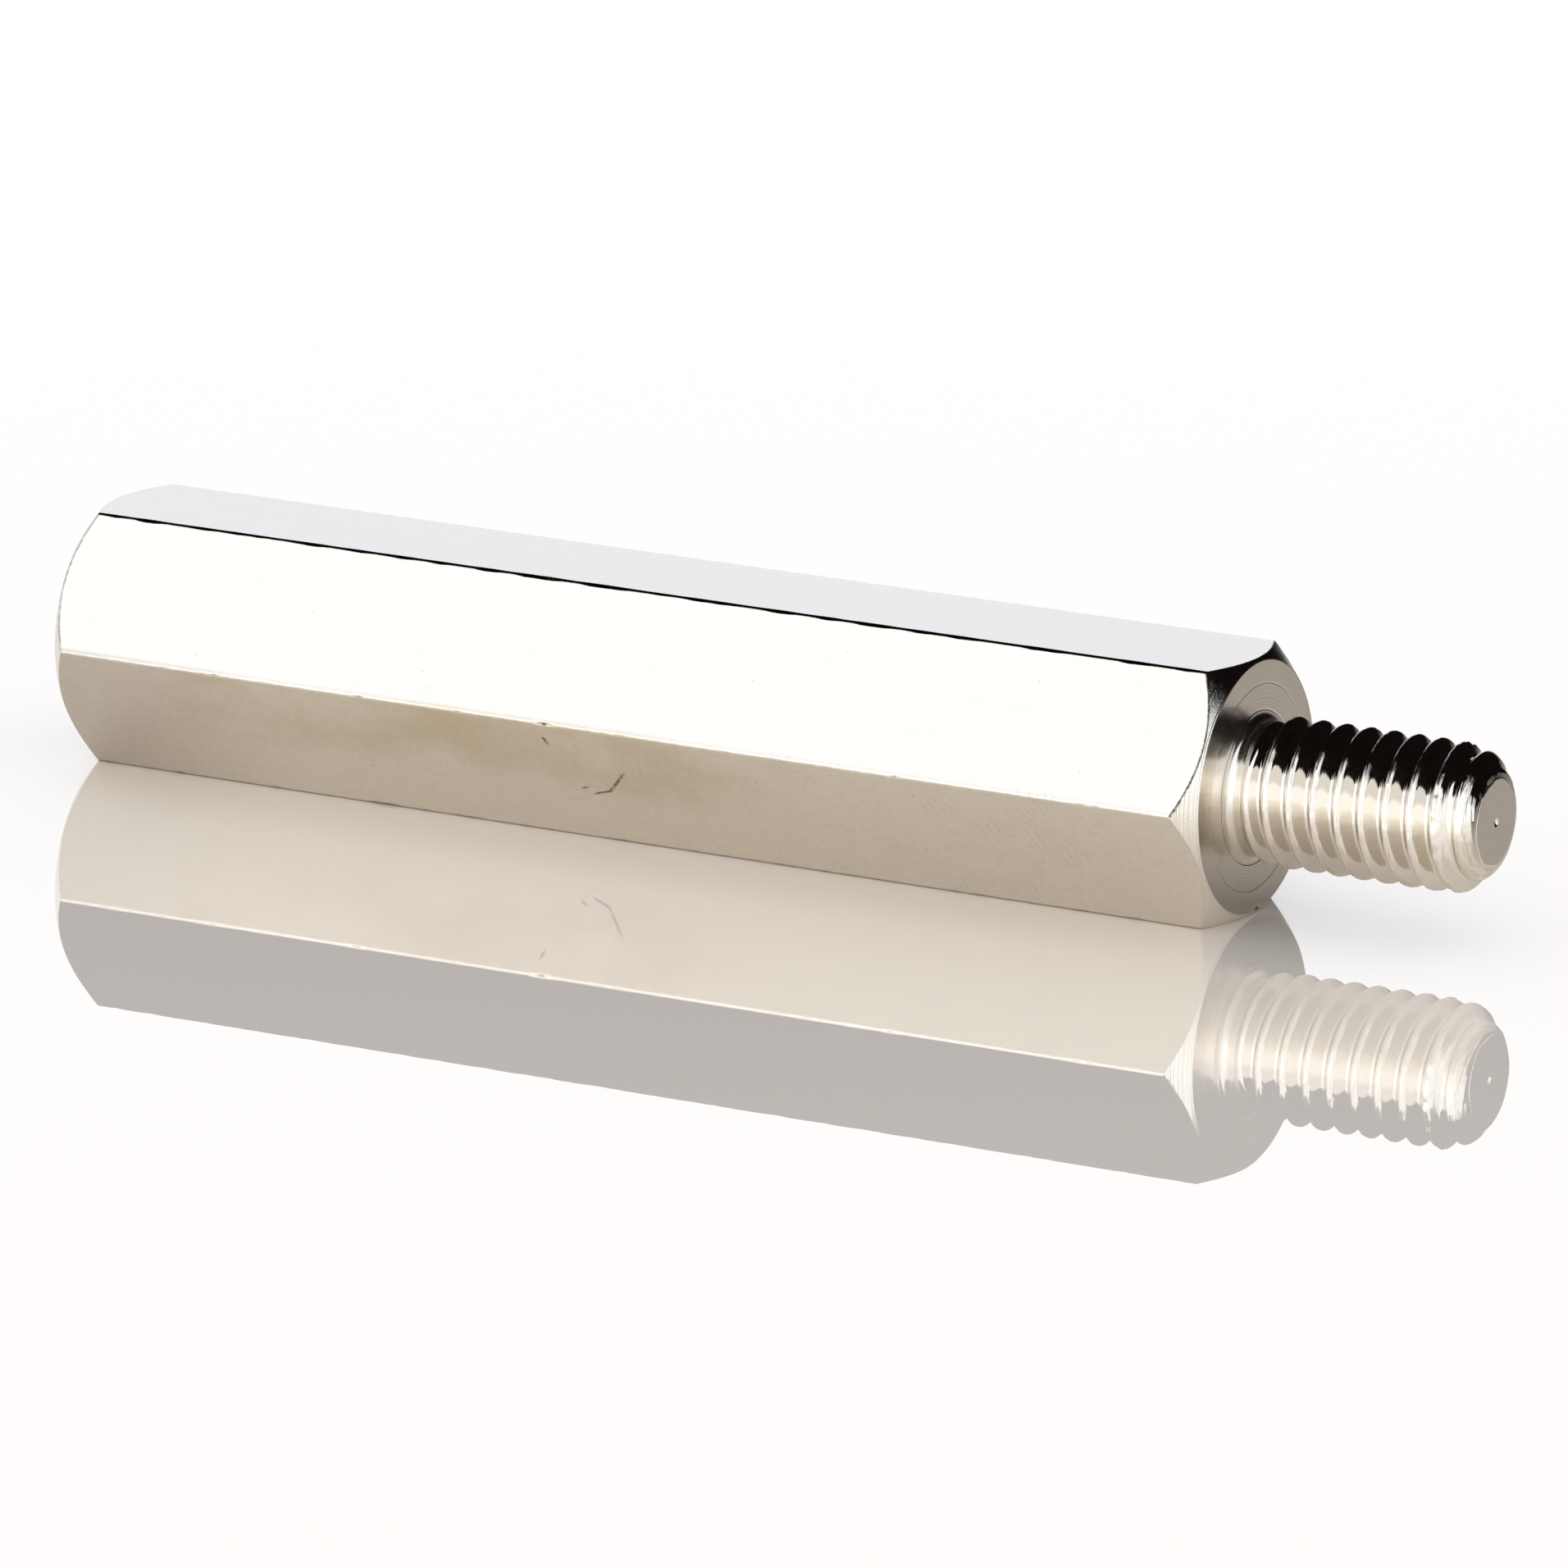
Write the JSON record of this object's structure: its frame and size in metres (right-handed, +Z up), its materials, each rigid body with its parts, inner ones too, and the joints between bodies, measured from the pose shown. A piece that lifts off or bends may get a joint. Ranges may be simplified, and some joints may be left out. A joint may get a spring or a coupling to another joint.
{
  "type": "hex standoff",
  "caption": "Male-female hexagonal standoff in nickel-plated brass: a long hexagonal body with a tapped hole in its far end and a threaded stud, for holding boards apart.",
  "frame": {"origin": "centre of the shoulder face, where the stud leaves the hexagon, on the common axis of stud and hole", "axes": "+X along the stud, away from the body; +Z up, square to the flat that the part lies on; Y runs across two opposite corners of the hexagon"},
  "size_m": [0.03, 0.0058, 0.005],
  "materials": {
    "nickel_plate": "polished"
  },
  "bodies": {
    "root": {"hex_standoff": "nickel_plate"}
  },
  "joints": []
}
